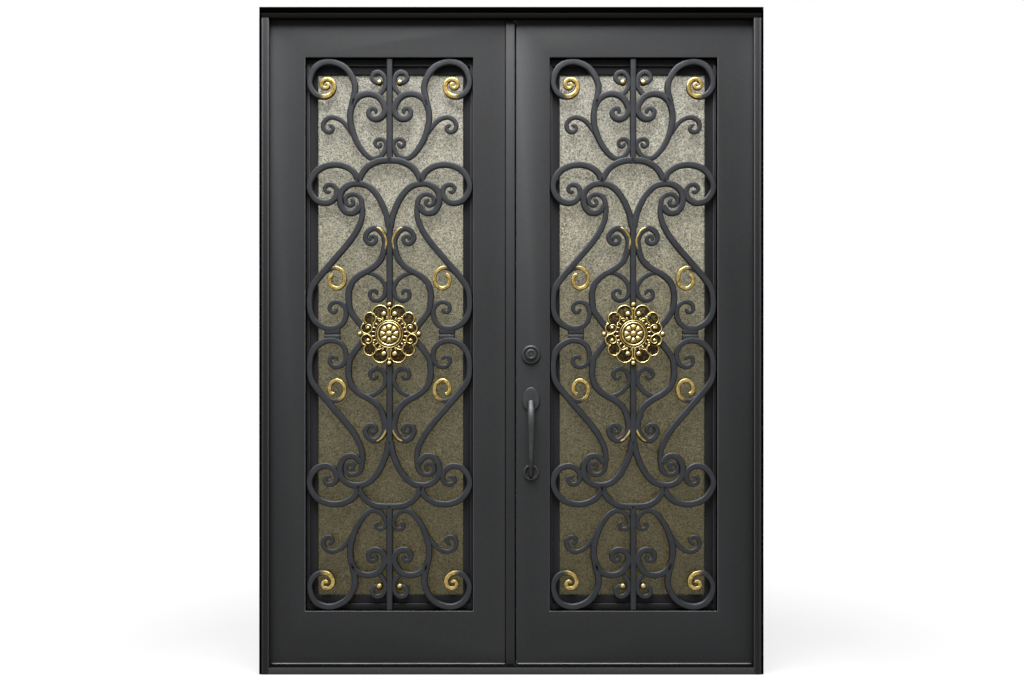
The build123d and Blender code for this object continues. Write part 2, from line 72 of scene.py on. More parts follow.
def into_scene(name, data):
    """A new object in the scene."""
    obj = bpy.data.objects.new(name, data)
    bpy.context.scene.collection.objects.link(obj)
    return obj


def add_piece(name, mesh, body, slot, nodes, *materials):
    """Put a finished mesh in the scene as a piece of a body, in place of CAD nodes."""
    obj = into_scene(name, mesh)
    for material in materials:
        mesh.materials.append(material)
    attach(obj, body)
    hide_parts(*nodes)
    return obj


def settled(name, mesh, *modifiers):
    """The plain mesh that a mesh becomes under modifiers, which are given as functions that add one."""
    obj = into_scene(name, mesh)
    for add in modifiers:
        add(obj)
    graph = bpy.context.evaluated_depsgraph_get()
    result = bpy.data.meshes.new_from_object(obj.evaluated_get(graph))
    bpy.data.objects.remove(obj)
    return result


def smoothed(mesh, degrees=40):
    """A mesh with its round sides smooth and its corners sharp."""
    mesh.shade_smooth()
    mesh.set_sharp_from_angle(angle=math.radians(degrees))
    return mesh


def finished(shape, name, degrees=40):
    """A mesh from a bmesh, with its faces outwards and its round sides smooth."""
    bmesh.ops.recalc_face_normals(shape, faces=shape.faces)
    mesh = bpy.data.meshes.new(name)
    shape.to_mesh(mesh)
    shape.free()
    return smoothed(mesh, degrees)


def cad_shape(node):
    """A clean copy of a CAD node: joined corners, and one face for each flat side."""
    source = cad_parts[node].data
    shape = bmesh.new()
    corners = [shape.verts.new(vertex.co) for vertex in source.vertices]
    for polygon in source.polygons:
        shape.faces.new([corners[index] for index in polygon.vertices])
    bmesh.ops.remove_doubles(shape, verts=shape.verts, dist=0.01 * mm)
    bmesh.ops.dissolve_limit(shape, angle_limit=math.radians(1), verts=shape.verts, edges=shape.edges)
    return shape


def arris(width, segments=2):
    """A modifier that rounds the sharp edges of a bar."""

    def add(obj):
        bevel = obj.modifiers.new("arris", "BEVEL")
        bevel.width = width
        bevel.segments = segments
        bevel.limit_method = "ANGLE"
        bevel.angle_limit = math.radians(40)

    return add


def soften(node, body, slot, material, width):
    """Replace a CAD node by its copy with rounded edges."""
    rounded = smoothed(settled(node, finished(cad_shape(node), node), arris(width)))
    return add_piece(f"{node}_skin", rounded, body, slot, [node], material)


def refinish(node, material):
    """Give a finish to a CAD node that keeps its shape."""
    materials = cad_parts[node].data.materials
    materials.clear()
    materials.append(material)


def block(shape, middle, size):
    """Add a box round a middle."""
    bmesh.ops.create_cube(shape, size=1, matrix=Matrix.Translation(middle) @ Matrix.Diagonal((*size, 1)))


# %% [markdown]
# ## Finishes
# Each finish is worked out from the place on the object, in metres, so it needs no pictures and stays put when a leaf
# swings. Powder coat is a dark, half matt paint with a fine orange peel. Forged iron is the same paint over hammer
# marks. Gold leaf is a metal whose hollows keep a dark wash. Paint, bars, gold and bronze also carry a painted
# highlight on edges and on faces that look up, and painted shade on faces that look down or aside.


# %% Finish tools
def new_finish(name):
    """An empty finish: its material, node tree and main shader."""
    material = bpy.data.materials.new(name)
    material.use_nodes = True
    return material, material.node_tree, material.node_tree.nodes["Principled BSDF"]


def fill(tree, made, **inputs):
    """Link or set the inputs of a node by name, or by number after an underscore."""
    for key, value in inputs.items():
        socket = made.inputs[int(key[1:])] if key[1:].isdigit() else made.inputs[key.replace("_", " ")]
        if isinstance(value, bpy.types.NodeSocket):
            tree.links.new(value, socket)
        else:
            socket.default_value = value


def node(tree, kind, settings=(), **inputs):
    """Add a node, set its properties and fill its inputs."""
    made = tree.nodes.new(kind)
    for key, value in dict(settings).items():
        setattr(made, key, value)
    fill(tree, made, **inputs)
    return made


def place(tree):
    """Where a point lies on the object, in metres."""
    return node(tree, "ShaderNodeTexCoord").outputs["Object"]


def parts(tree, vector):
    """The X, Y and Z of a vector."""
    return node(tree, "ShaderNodeSeparateXYZ", Vector=vector).outputs


def normal(tree):
    """Which way a surface faces, along the axes of its piece."""
    return parts(tree, node(tree, "ShaderNodeTexCoord").outputs["Normal"])


def mottle(tree, scale, detail=3.0, stretch=(1, 1, 1)):
    """Cloudy noise between 0 and 1, which may be stretched along an axis."""
    mapping = node(tree, "ShaderNodeMapping", Vector=place(tree), Scale=stretch)
    noise = node(tree, "ShaderNodeTexNoise", Vector=mapping.outputs["Vector"], Scale=scale, Detail=detail)
    return noise.outputs["Fac"]


def blend(tree, factor, *colours):
    """A colour between two others."""
    low, high = (colour if isinstance(colour, bpy.types.NodeSocket) else (*colour, 1) for colour in colours)
    return node(tree, "ShaderNodeMix", {"data_type": "RGBA"}, _0=factor, _6=low, _7=high).outputs[2]


def spread(tree, value, low, high, to_low=0.0, to_high=1.0):
    """Stretch a value from one range to another, and clamp it there."""
    ends = {"From_Min": low, "From_Max": high, "To_Min": to_low, "To_Max": to_high}
    return node(tree, "ShaderNodeMapRange", Value=value, **ends).outputs["Result"]


def between(tree, share, start, end):
    """The value at a share of the way from a start to an end."""
    return spread(tree, share, 0.0, 1.0, start, end)


def combine(tree, operation, first, *others):
    """Arithmetic on one value or more."""
    for other in others or (0.0,):
        first = node(tree, "ShaderNodeMath", {"operation": operation}, _0=first, _1=other).outputs["Value"]
    return first


def facing(tree, axis):
    """How far a surface faces along one axis of its piece, between 0 and 1, whichever way round."""
    return combine(tree, "ABSOLUTE", normal(tree)[axis])


def on_arris(tree):
    """1 on a rounded edge, where a surface faces along no axis, and 0 on the flat sides."""
    return spread(tree, combine(tree, "MAXIMUM", *(facing(tree, axis) for axis in "XYZ")), 0.995, 0.8)


def lit_side(tree):
    """How far a surface faces the light above it, from 0 underneath to 1 on top, on both faces of the leaf."""
    ways = ((facing(tree, "Y"), 0.45), (normal(tree)["Z"], 0.84), (normal(tree)["X"], -0.3))
    total = combine(tree, "ADD", *(combine(tree, "MULTIPLY", way, weight) for way, weight in ways))
    return spread(tree, total, -0.6, 1.0)


def ramp(tree, value, stops):
    """A colour that follows a value through stops of (place between 0 and 1, colour)."""
    made = node(tree, "ShaderNodeValToRGB", Fac=value)
    elements = made.color_ramp.elements
    while len(elements) < len(stops):
        elements.new(0.5)
    for element, (spot, colour) in zip(elements, stops):
        element.position = spot
        element.color = (*colour, 1)
    return made.outputs["Color"]


def bump(tree, shader, height, strength, distance):
    """Roughen a finish by a height."""
    made = node(tree, "ShaderNodeBump", Height=height, Strength=strength, Distance=distance)
    fill(tree, shader, Normal=made.outputs["Normal"])


# %% Paints
def powder_coat(name, colour, roughness=0.56, peel=260.0, sheen=0.2, edge_wear_and_highlight=1.9, band=None, mouth=None):
    """Half matt paint with a little cloud and orange peel, paler along its edges: rubbed paint with a painted
    highlight. A band gives the place beyond which its front is black, and a mouth the box whose walls get painted
    shade, near black."""
    material, tree, shader = new_finish(name)

    def shade(share):
        return [share * part for part in colour]

    cloud = spread(tree, mottle(tree, 2.2, 4.0), 0.3, 0.7)
    dust = spread(tree, mottle(tree, 55.0, 2.0), 0.35, 0.65)
    paint = blend(tree, cloud, shade(0.86), shade(1.1))
    paint = blend(tree, combine(tree, "MULTIPLY", dust, 0.18), paint, shade(1.5))
    # Paler rounded edges: rubbed paint, and a painted highlight where the edges catch the light.
    paint = blend(tree, on_arris(tree), paint, shade(edge_wear_and_highlight))
    axes = parts(tree, place(tree))
    across, dark = combine(tree, "ABSOLUTE", axes["X"]), None
    # Painted shade: the walls of the leaf's opening are painted near black and lose their sheen.
    if mouth:
        low, high = mouth
        within = []
        for way, start, end in ((across, -high.x, -low.x), (axes["Z"], low.z, high.z)):
            from_middle = combine(tree, "ABSOLUTE", combine(tree, "SUBTRACT", way, (start + end) / 2))
            within.append(combine(tree, "LESS_THAN", from_middle, (end - start) / 2 + 0.3 * mm))
        dark, black = combine(tree, "MULTIPLY", *within), 0.003
    if band:
        beyond = [combine(tree, "GREATER_THAN", way, edge) for way, edge in zip((across, axes["Z"]), band)]
        outside = combine(tree, "MAXIMUM", normal(tree)["Z"], facing(tree, "X"))
        front = combine(tree, "LESS_THAN", outside, 0.985)
        dark, black = combine(tree, "MULTIPLY", combine(tree, "MAXIMUM", *beyond), front), 0.0006
    if dark is not None:
        paint = blend(tree, dark, paint, [black] * 3)
        sheen = between(tree, dark, sheen, 0.0)
    rough = between(tree, cloud, roughness - 0.05, roughness + 0.06)
    fill(tree, shader, Base_Color=paint, Specular_IOR_Level=sheen, Roughness=rough)
    bump(tree, shader, mottle(tree, peel, 1.0), 0.12, 0.0004)
    return material


head_low, head_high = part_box("head_jamb")
black_band = (head_high.x - 9 * mm, head_high.z - 24 * mm)
# The leaf paint's mouth puts painted shade on the walls of the opening.
leaf_paint = powder_coat("leaf_paint", (0.0312, 0.032, 0.0332), edge_wear_and_highlight=4.6, mouth=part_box("left_lite_ledge"))
frame_paint = powder_coat("frame_paint", (0.0112, 0.0112, 0.0121), edge_wear_and_highlight=7.5, band=black_band)
# The head is painted much darker than the jambs: painted shade on its front.
head_painted_shade = powder_coat("head_painted_shade", (0.0042, 0.0036, 0.0026), sheen=0.02, edge_wear_and_highlight=7.0, band=black_band)
strip_paint = powder_coat("strip_paint", (0.0335, 0.034, 0.0355), roughness=0.5)
sash_paint = powder_coat("sash_paint", (0.023, 0.023, 0.0252), roughness=0.5, sheen=0.09, edge_wear_and_highlight=1.5)
ledge_paint = powder_coat("ledge_paint", (0.024, 0.024, 0.0245), roughness=0.5, sheen=0.08, edge_wear_and_highlight=10.0)
sill_paint = powder_coat("sill_paint", (0.06, 0.06, 0.06), roughness=0.55, peel=120.0)
hinge_paint = powder_coat("hinge_paint", (0.04, 0.04, 0.042), roughness=0.38)
print("With the paints:", len(bpy.data.materials), "materials")


# %% Forged bars, gold, bronze
def gilt_share(tree):
    """The gilt mark of a point: 1 on gold, 0 on paint or in a dark fold."""
    return node(tree, "ShaderNodeAttribute", {"attribute_name": "gilt"}).outputs["Fac"]


def gold_colours(tree):
    """Gold leaf that is worn in cloudy patches, with a painted highlight on faces that look up and painted shade on
    faces that look down.
    """
    wear = spread(tree, mottle(tree, 90.0, 4.0), 0.32, 0.68)
    lit = lit_side(tree)
    leaf = blend(tree, wear, (0.19, 0.118, 0.029), (0.53, 0.39, 0.132))
    # Painted highlight: pale gold where a face looks up towards the light.
    leaf = blend(tree, spread(tree, lit, 0.665, 0.9), leaf, (0.89, 0.73, 0.33))
    # Painted shade: near black where a face looks down, away from the light.
    return blend(tree, spread(tree, lit, 0.3, 0.62), (0.016, 0.009, 0.003), leaf)


def forged_bar_finish():
    """Slate paint over hammer marks, with painted shade at the sides and a painted highlight on faces that look up, and
    gold leaf at the gilt mark, also with painted shade at its sides.
    """
    material, tree, shader = new_finish("forged_bar")
    gilt = gilt_share(tree)
    cloud = spread(tree, mottle(tree, 26.0, 3.0), 0.3, 0.7)
    slate = blend(tree, cloud, (0.02, 0.0215, 0.0245), (0.033, 0.0352, 0.0405))
    # Painted shade: the rounded sides of the bars are nearly black.
    slate = blend(tree, spread(tree, facing(tree, "Y"), 0.84, 0.995), (0.004, 0.004, 0.005), slate)
    # Painted highlight: pale slate where a face looks up towards the light.
    slate = blend(tree, spread(tree, lit_side(tree), 0.75, 1.0), slate, (0.1, 0.105, 0.116))
    # Painted shade on the sides of the gold as well.
    gold = blend(tree, spread(tree, facing(tree, "Y"), 0.6, 0.985), (0.014, 0.009, 0.003), gold_colours(tree))
    metallic, rough = combine(tree, "MULTIPLY", gilt, 0.92), between(tree, gilt, 0.44, 0.3)
    fill(tree, shader, Base_Color=blend(tree, gilt, slate, gold), Metallic=metallic, Roughness=rough)
    fill(tree, shader, Specular_IOR_Level=0.3)
    bump(tree, shader, mottle(tree, 70.0, 2.0), 0.35, 0.0012)
    return material


def medallion_finish():
    """Cast gold whose hollows keep a dark wash: the further back a point lies, the darker it is."""
    material, tree, shader = new_finish("antique_gold")
    depth = parts(tree, place(tree))["Y"]
    uneven = combine(tree, "ADD", depth, combine(tree, "MULTIPLY", mottle(tree, 160.0), 0.003))
    hollow = combine(tree, "MAXIMUM", spread(tree, uneven, 0.001, 0.0042), between(tree, gilt_share(tree), 1.0, 0.0))
    fill(tree, shader, Base_Color=blend(tree, hollow, gold_colours(tree), (0.018, 0.012, 0.006)))
    for name, gold, wash in (("Metallic", 0.95, 0.3), ("Specular_IOR_Level", 0.5, 0.1), ("Roughness", 0.3, 0.6)):
        fill(tree, shader, **{name: between(tree, hollow, gold, wash)})
    bump(tree, shader, mottle(tree, 240.0, 3.0), 0.25, 0.0008)
    return material


def bronze_finish():
    """Dark bronze with a satin sheen and faint rubbed patches, a painted highlight on faces that look up and painted
    shade on faces that look down.
    """
    material, tree, shader = new_finish("dark_bronze")
    rubbed = spread(tree, mottle(tree, 38.0, 4.0), 0.35, 0.75)
    bronze = blend(tree, rubbed, (0.03, 0.031, 0.032), (0.055, 0.056, 0.058))
    lit = lit_side(tree)
    # Painted highlight on faces that look up.
    bronze = blend(tree, spread(tree, lit, 0.68, 0.98), bronze, (0.062, 0.063, 0.067))
    # Painted shade, nearly black, on faces that look down.
    bronze = blend(tree, spread(tree, lit, 0.2, 0.62), (0.004, 0.004, 0.004), bronze)
    fill(tree, shader, Base_Color=bronze, Metallic=0.55, Roughness=between(tree, rubbed, 0.48, 0.38))
    bump(tree, shader, mottle(tree, 320.0, 2.0), 0.1, 0.0004)
    return material


forged_bar = forged_bar_finish()
antique_gold = medallion_finish()
dark_bronze = bronze_finish()
print("Metals:", forged_bar.name, antique_gold.name, dark_bronze.name)


# %% Glass, rubber, steel
# Glass colours from the foot to the top: a painted gradient of light, dark below and pale above.
glass_stops = (
    (0.0, (0.1, 0.083, 0.032)), (0.2, (0.136, 0.115, 0.053)), (0.43, (0.182, 0.161, 0.09)),
    (0.54, (0.31, 0.285, 0.188)), (0.67, (0.485, 0.458, 0.355)), (1.0, (0.52, 0.503, 0.43)),
)


def obscure_glass_finish():
    """Hammered glass: small soft dimples, with light from behind, and painted light in its colour: pale towards the top
    and dark towards the foot.
    """
    material, tree, shader = new_finish("obscure_glass")
    # Painted light: the colour follows height, pale above and dark below.
    body = ramp(tree, spread(tree, parts(tree, place(tree))["Z"], 0.3, 2.3), glass_stops)
    cells = node(tree, "ShaderNodeTexVoronoi", Vector=place(tree), Scale=300.0).outputs["Color"]
    grain = between(tree, parts(tree, cells)["X"], 0.1, 1.78)
    speckled = node(tree, "ShaderNodeVectorMath", {"operation": "SCALE"}, _0=body, Scale=grain).outputs["Vector"]
    fill(tree, shader, Base_Color=speckled, Roughness=0.45, Specular_IOR_Level=0.2, Transmission_Weight=0.75)
    dimples = node(
        tree, "ShaderNodeTexVoronoi", {"feature": "SMOOTH_F1"}, Vector=place(tree), Scale=140.0, Smoothness=0.6
    )
    bump(tree, shader, dimples.outputs["Distance"], 0.35, 0.002)
    return material


def rubber_finish():
    """Matt black rubber with a dusty bloom."""
    material, tree, shader = new_finish("seal_rubber")
    bloom = spread(tree, mottle(tree, 45.0, 3.0), 0.4, 0.7)
    black = blend(tree, bloom, (0.008, 0.008, 0.008), (0.022, 0.022, 0.022))
    fill(tree, shader, Base_Color=black, Roughness=0.75)
    bump(tree, shader, mottle(tree, 500.0, 1.0), 0.2, 0.0003)
    return material


def brushed_steel_finish():
    """Steel brushed along the foot of the door."""
    material, tree, shader = new_finish("brushed_steel")
    scratches = spread(tree, mottle(tree, 900.0, 2.0, (0.02, 1, 1)), 0.3, 0.7)
    steel = blend(tree, scratches, (0.3, 0.3, 0.31), (0.52, 0.52, 0.52))
    fill(tree, shader, Base_Color=steel, Metallic=0.7, Roughness=between(tree, scratches, 0.32, 0.5))
    return material


obscure_glass = obscure_glass_finish()
seal_rubber = rubber_finish()
brushed_steel = brushed_steel_finish()
print("With all finishes:", len(bpy.data.materials), "materials")

# %% [markdown]
# ## Fixed frame and sill
# The jambs, the head and the sill are folded steel. Their sections are already in the CAD, so each one is a softened
# copy. The outer rebate, which plaster would cover, stays black.

# %% Frame
for name, paint in (("left_jamb", frame_paint), ("right_jamb", frame_paint), ("head_jamb", head_painted_shade)):
    soften(name, "frame", "frame_paint", paint, 2.0 * mm)
soften("sill", "frame", "sill_paint", sill_paint, 1.0 * mm)
refinish("weather_seals", seal_rubber)
print("Head:", measured(head_high - head_low))

# %% [markdown]
# ## Leaf skins
# A leaf is one welded frame, ground flush at the corners, so no joint shows. It is made as a flat ring with the opening
# cut out. The front edge of the opening is rounder than the rest: it is the light line round the glass.


# %% Leaf skins
def ring_shape(low, high, inner_low, inner_high):
    """A flat frame between an outer and an inner rectangle."""
    shape = bmesh.new()
    loops = []
    for y in (low.y, high.y):
        for a, b in ((low, high), (inner_low, inner_high)):
            corners = ((a.x, a.z), (b.x, a.z), (b.x, b.z), (a.x, b.z))
            loops.append([shape.verts.new((x, y, z)) for x, z in corners])
    front_outer, front_inner, back_outer, back_inner = loops
    pairs = ((front_outer, front_inner), (back_outer, back_inner), (front_outer, back_outer), (front_inner, back_inner))
    for first, second in pairs:
        for index in range(4):
            after = (index + 1) % 4
            shape.faces.new((first[index], first[after], second[after], second[index]))
    return shape, front_inner


def leaf_skin(side):
    """The welded frame of one leaf. The left one has a groove beside its cover strip."""
    nodes = [f"{side}_{name}" for name in ("hinge_stile", "meeting_stile", "top_rail", "bottom_rail")]
    boxes = [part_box(name) for name in nodes]
    low = Vector(map(min, *(box[0] for box in boxes)))
    high = Vector(map(max, *(box[1] for box in boxes)))
    top, bottom = boxes[2:]
    inner_low = Vector((bottom[0].x, 0, bottom[1].z))
    inner_high = Vector((top[1].x, 0, top[0].z))
    shape, mouth = ring_shape(low, high, inner_low, inner_high)
    edges = [edge for edge in shape.edges if all(vertex in mouth for vertex in edge.verts)]
    bmesh.ops.bevel(shape, geom=edges, offset=3.6 * mm, segments=4, profile=0.5, affect="EDGES")
    mesh = finished(shape, f"{side}_leaf")
    modifiers = [arris(0.8 * mm)]
    if side == "left":
        groove_size = Vector((3.5 * mm, 24 * mm, 3))
        cutter = bmesh.new()
        block(cutter, Vector((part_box("cover_strip")[0].x - groove_size.x / 2, 0, 1.2)), groove_size)
        groove = into_scene("groove", finished(cutter, "groove"))

        def cut(obj):
            modifier = obj.modifiers.new("groove", "BOOLEAN")
            modifier.object = groove
            modifier.solver = "EXACT"

        modifiers.insert(0, cut)
    rounded = smoothed(settled(f"{side}_leaf", mesh, *modifiers), 30)
    if side == "left":
        bpy.data.objects.remove(groove)
    return add_piece(f"{side}_leaf_skin", rounded, f"{side}_leaf", "leaf_paint", nodes, leaf_paint)


for side in sides:
    told(leaf_skin(side))

# %% [markdown]
# ## Ledge, sash, glass and seals
# Behind the grille lie a narrow ledge, the sash band and the pane. The metal pieces are softened copies. The pane, its
# bead and the rubber keep their CAD shape and get a finish.

# %% What closes the openings
for side in sides:
    body = f"{side}_leaf"
    soften(f"{side}_lite_ledge", body, "sash_paint", ledge_paint, 2.2 * mm)
    soften(f"{side}_sash", body, "sash_paint", sash_paint, 1.2 * mm)
    soften(f"{side}_drip_bar", body, "drip_steel", brushed_steel, 0.8 * mm)
    soften(f"{side}_leaf_hinges", body, "hinge_steel", hinge_paint, 0.8 * mm)
    soften(f"{side}_frame_hinges", "frame", "hinge_steel", hinge_paint, 0.8 * mm)
    for name, material in (("glass", obscure_glass), ("glazing_bead", sash_paint), ("door_sweep", seal_rubber)):
        refinish(f"{side}_{name}", material)
soften("cover_strip", "left_leaf", "leaf_paint", strip_paint, 1.4 * mm)

# %% [markdown]
# ## A bar that follows a path
# A smith draws a scroll out of a straight bar and bends it cold. Geometry Nodes do the same: a row of points becomes a
# smooth curve, a section with rounded corners runs along it, and a mark on the points scales the section, so that the
# bar thins towards its tip. The same tree makes the scrolls, the gold wire, the rings and the bulb seal.


# %% Bar tree
bar_inputs = {
    "Width": "Float", "Depth": "Float", "Arris": "Float", "Arris steps": "Int", "Path steps": "Int", "Place": "Vector",
    "Material": "Material",
}


def forged_bar_tree():
    """Points to a bar: inputs for the section, the smoothness, the place and the material."""
    tree = bpy.data.node_groups.new("bar_along_path", "GeometryNodeTree")
    for name, kind in {"Geometry": "Geometry", **bar_inputs}.items():
        tree.interface.new_socket(name, in_out="INPUT", socket_type=f"NodeSocket{kind}")
    tree.interface.new_socket("Geometry", in_out="OUTPUT", socket_type="NodeSocketGeometry")
    inputs = tree.nodes.new("NodeGroupInput").outputs

    def after(kind, settings=(), **values):
        return node(tree, f"GeometryNode{kind}", settings, **values).outputs[0]

    curve = after("MeshToCurve", Mesh=inputs["Geometry"])
    curve = after("CurveSplineType", {"spline_type": "CATMULL_ROM"}, Curve=curve)
    curve = after("SetSplineResolution", Geometry=curve, Resolution=inputs["Path steps"])
    curve = after("ResampleCurve", {"mode": "EVALUATED"}, Curve=curve)
    curve = after("SetCurveNormal", {"mode": "Z_UP"}, Curve=curve)
    scale = after("InputNamedAttribute", {"data_type": "FLOAT"}, Name="bar_scale")
    section = after("CurvePrimitiveQuadrilateral", Width=inputs["Width"], Height=inputs["Depth"])
    corners = {"Radius": inputs["Arris"], "Count": inputs["Arris steps"], "Limit_Radius": True}
    section = after("FilletCurve", {"mode": "POLY"}, Curve=section, **corners)
    bar = after("CurveToMesh", Curve=curve, Profile_Curve=section, Scale=scale, Fill_Caps=True)
    bar = after("Transform", Geometry=bar, Translation=inputs["Place"], Rotation=(math.pi / 2, 0, 0))
    bar = after("RealizeInstances", Geometry=bar)
    bar = after("SetMaterial", Geometry=bar, Material=inputs["Material"])
    tree.links.new(bar, tree.nodes.new("NodeGroupOutput").inputs[0])
    return tree


bar_tree = forged_bar_tree()
print("Bar tree:", len(bar_tree.nodes), "nodes")
PathPoint = namedtuple("PathPoint", "x z scale gilt")


def path_mesh(paths, closed=()):
    """Points and edges of several paths, with the marks that the bar tree reads."""
    mesh = bpy.data.meshes.new("paths")
    points, edges = [], []
    for index, path in enumerate(paths):
        first = len(points)
        points += path
        edges += [(first + step, first + step + 1) for step in range(len(path) - 1)]
        if index in closed:
            edges.append((len(points) - 1, first))
    mesh.from_pydata([(point.x, point.z, 0) for point in points], edges, [])
    for name in ("scale", "gilt"):
        marks = mesh.attributes.new("bar_scale" if name == "scale" else name, "FLOAT", "POINT")
        marks.data.foreach_set("value", [getattr(point, name) for point in points])
    return mesh


def swept(name, paths, section, place_at, material, closed=(), steps=(3, 6)):
    """The plain mesh of bars along paths. The section is a width, a depth and an arris, and the steps are those of a
    corner and of a stretch of path."""
    values = dict(zip(bar_inputs, (*section, *steps, place_at, material)))

    def add(obj):
        modifier = obj.modifiers.new("bars", "NODES")
        modifier.node_group = bar_tree
        for socket in bar_tree.interface.items_tree:
            if socket.in_out == "INPUT" and socket.name in values:
                modifier[socket.identifier] = values[socket.name]

    return settled(name, path_mesh(paths, closed), add)


# %% [markdown]
# ## Scroll grilles
# One quarter of the grille is drawn as a table of eleven scrolls. A scroll is a body of points and, at a curled end, a
# logarithmic spiral, which is how a bar winds up when it is bent round an ever smaller former. The quarter is repeated
# in the other three, with a little less winding below. Some curls are gilt.

# %% Scroll table
Curl = namedtuple("Curl", "eye turns")
Scroll = namedtuple("Scroll", "width body head tail", defaults=(None, None))
bar_width, curl_width, ring_width, tip_width, eye_radius, taper = 19.0, 14.0, 12.0, 11.0, 6.0, 0.3
drawn_width, drawn_arris = 23.5, 5.0
upper_winding = {
    "corner": 0.3, "lyre": 0.12, "side_curl": 0.06, "shoulder": 0.18, "stem": 0.4, "vine": 0.4, "bloom": 0.15,
}
lower_winding = {
    "corner": 0.0, "lyre": 0.2, "side_curl": 0.05, "shoulder": 0.2, "stem": 0.4, "vine": 0.4, "bloom": 0.05,
}
scrolls = {
    "corner": Scroll(bar_width, [
        (0.955, 0.906), (0.92, 0.946), (0.838, 0.971), (0.715, 0.98), (0.586, 0.969), (0.491, 0.946),
        (0.425, 0.909), (0.414, 0.878), (0.446, 0.832), (0.472, 0.789), (0.458, 0.746), (0.396, 0.694),
        (0.301, 0.652), (0.206, 0.633), (0.102, 0.643), (0.046, 0.672),
    ], head=Curl((0.762, 0.896), -1.45), tail=Curl((0.13, 0.685), -0.85)),
    "lyre": Scroll(bar_width, [
        (0.446, 0.823), (0.415, 0.843), (0.344, 0.86), (0.249, 0.866), (0.154, 0.858), (0.088, 0.837),
        (0.054, 0.808),
    ], tail=Curl((0.192, 0.802), 1.05)),
    "bud": Scroll(curl_width, [
        (0.13, 0.86), (0.066, 0.885), (0.05, 0.908), (0.074, 0.931), (0.13, 0.943), (0.187, 0.938),
        (0.211, 0.923), (0.183, 0.91), (0.13, 0.905),
    ]),
    "side_curl": Scroll(curl_width, [
        (0.452, 0.723), (0.501, 0.744), (0.567, 0.767), (0.639, 0.779), (0.705, 0.781), (0.767, 0.771),
        (0.795, 0.754),
    ], tail=Curl((0.715, 0.744), -0.85)),
    "arch": Scroll(bar_width, [
        (0.377, 0.546), (0.33, 0.578), (0.263, 0.603), (0.168, 0.619), (0.085, 0.6255), (0.0, 0.627),
    ]),
    "shoulder": Scroll(bar_width, [
        (0.373, 0.548), (0.425, 0.583), (0.548, 0.606), (0.7, 0.61), (0.852, 0.592), (0.945, 0.553),
        (0.95, 0.516), (0.871, 0.482), (0.757, 0.473),
    ], tail=Curl((0.734, 0.52), -1.0)),
    "heart": Scroll(bar_width, [
        (0.012, 0.385), (0.045, 0.434), (0.13, 0.491), (0.244, 0.53), (0.373, 0.543), (0.491, 0.537),
        (0.577, 0.512), (0.591, 0.474), (0.54, 0.444), (0.47, 0.4365), (0.42, 0.4395), (0.382, 0.449),
        (0.352, 0.462),
    ]),
    "stem": Scroll(bar_width, [
        (0.33, 0.463), (0.325, 0.437), (0.349, 0.402), (0.415, 0.362), (0.52, 0.319), (0.634, 0.279),
        (0.86, 0.199), (0.936, 0.163), (0.955, 0.126), (0.95, 0.087), (0.913, 0.057), (0.837, 0.034),
        (0.739, 0.022), (0.632, 0.025), (0.556, 0.042), (0.522, 0.068),
    ], head=Curl((0.465, 0.477), -0.95), tail=Curl((0.663, 0.09), -0.72)),
    "vine": Scroll(bar_width, [
        (0.29, 0.014), (0.351, 0.036), (0.412, 0.059), (0.473, 0.089), (0.49, 0.126), (0.487, 0.153),
        (0.45, 0.186), (0.359, 0.213), (0.245, 0.232), (0.154, 0.252), (0.093, 0.278), (0.054, 0.325),
        (0.067, 0.352), (0.121, 0.374), (0.187, 0.382), (0.253, 0.372), (0.29, 0.353),
    ], tail=Curl((0.208, 0.344), -0.8)),
    "bloom": Scroll(curl_width, [
        (0.29, 0.222), (0.23, 0.221), (0.161, 0.212), (0.1, 0.197), (0.056, 0.176), (0.048, 0.158),
    ], tail=Curl((0.181, 0.1485), 1.0)),
    "tendril": Scroll(ring_width, [
        (0.79, 0.22), (0.701, 0.237), (0.632, 0.239), (0.564, 0.226), (0.535, 0.202), (0.556, 0.178),
        (0.628, 0.165), (0.697, 0.175), (0.717, 0.195), (0.704, 0.209), (0.67, 0.215),
    ]),
}
lower_arch = [(0.377, 0.546), (0.33, 0.578), (0.263, 0.601), (0.168, 0.615), (0.085, 0.6185), (0.0, 0.619)]
arch_crown, heart_foot, collar_middle, stem_foot = 0.618, 0.385, 0.684, 0.022
scroll_height_share = 1.008
bud_ball, bud_radius = (0.122, 0.906), 12.6
print("Scrolls in a quarter:", len(scrolls))


# %% Scroll paths
def opening(side):
    """Middle of a leaf's opening, its half width and the half height that the scrolls are drawn for, in millimetres."""
    low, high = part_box(f"{side}_lite_ledge")
    middle = (low + high) / 2 / mm
    half = (high - low) / 2 / mm
    return middle, half.x, half.z * scroll_height_share


def winding(start, eye, turns, further):
    """Points of the spiral that winds from a start round an eye, and a little further than the table says."""
    reach = math.dist(start, eye)
    first = math.atan2(start[1] - eye[1], start[0] - eye[0])
    turns += math.copysign(further, turns)
    steps = math.ceil(abs(turns) * 10)
    points = []
    for step in range(1, steps + 1):
        radius = reach * (eye_radius / reach) ** (step / steps)
        angle = first + math.tau * turns * step / steps
        points.append((eye[0] + radius * math.cos(angle), eye[1] + radius * math.sin(angle)))
    return points


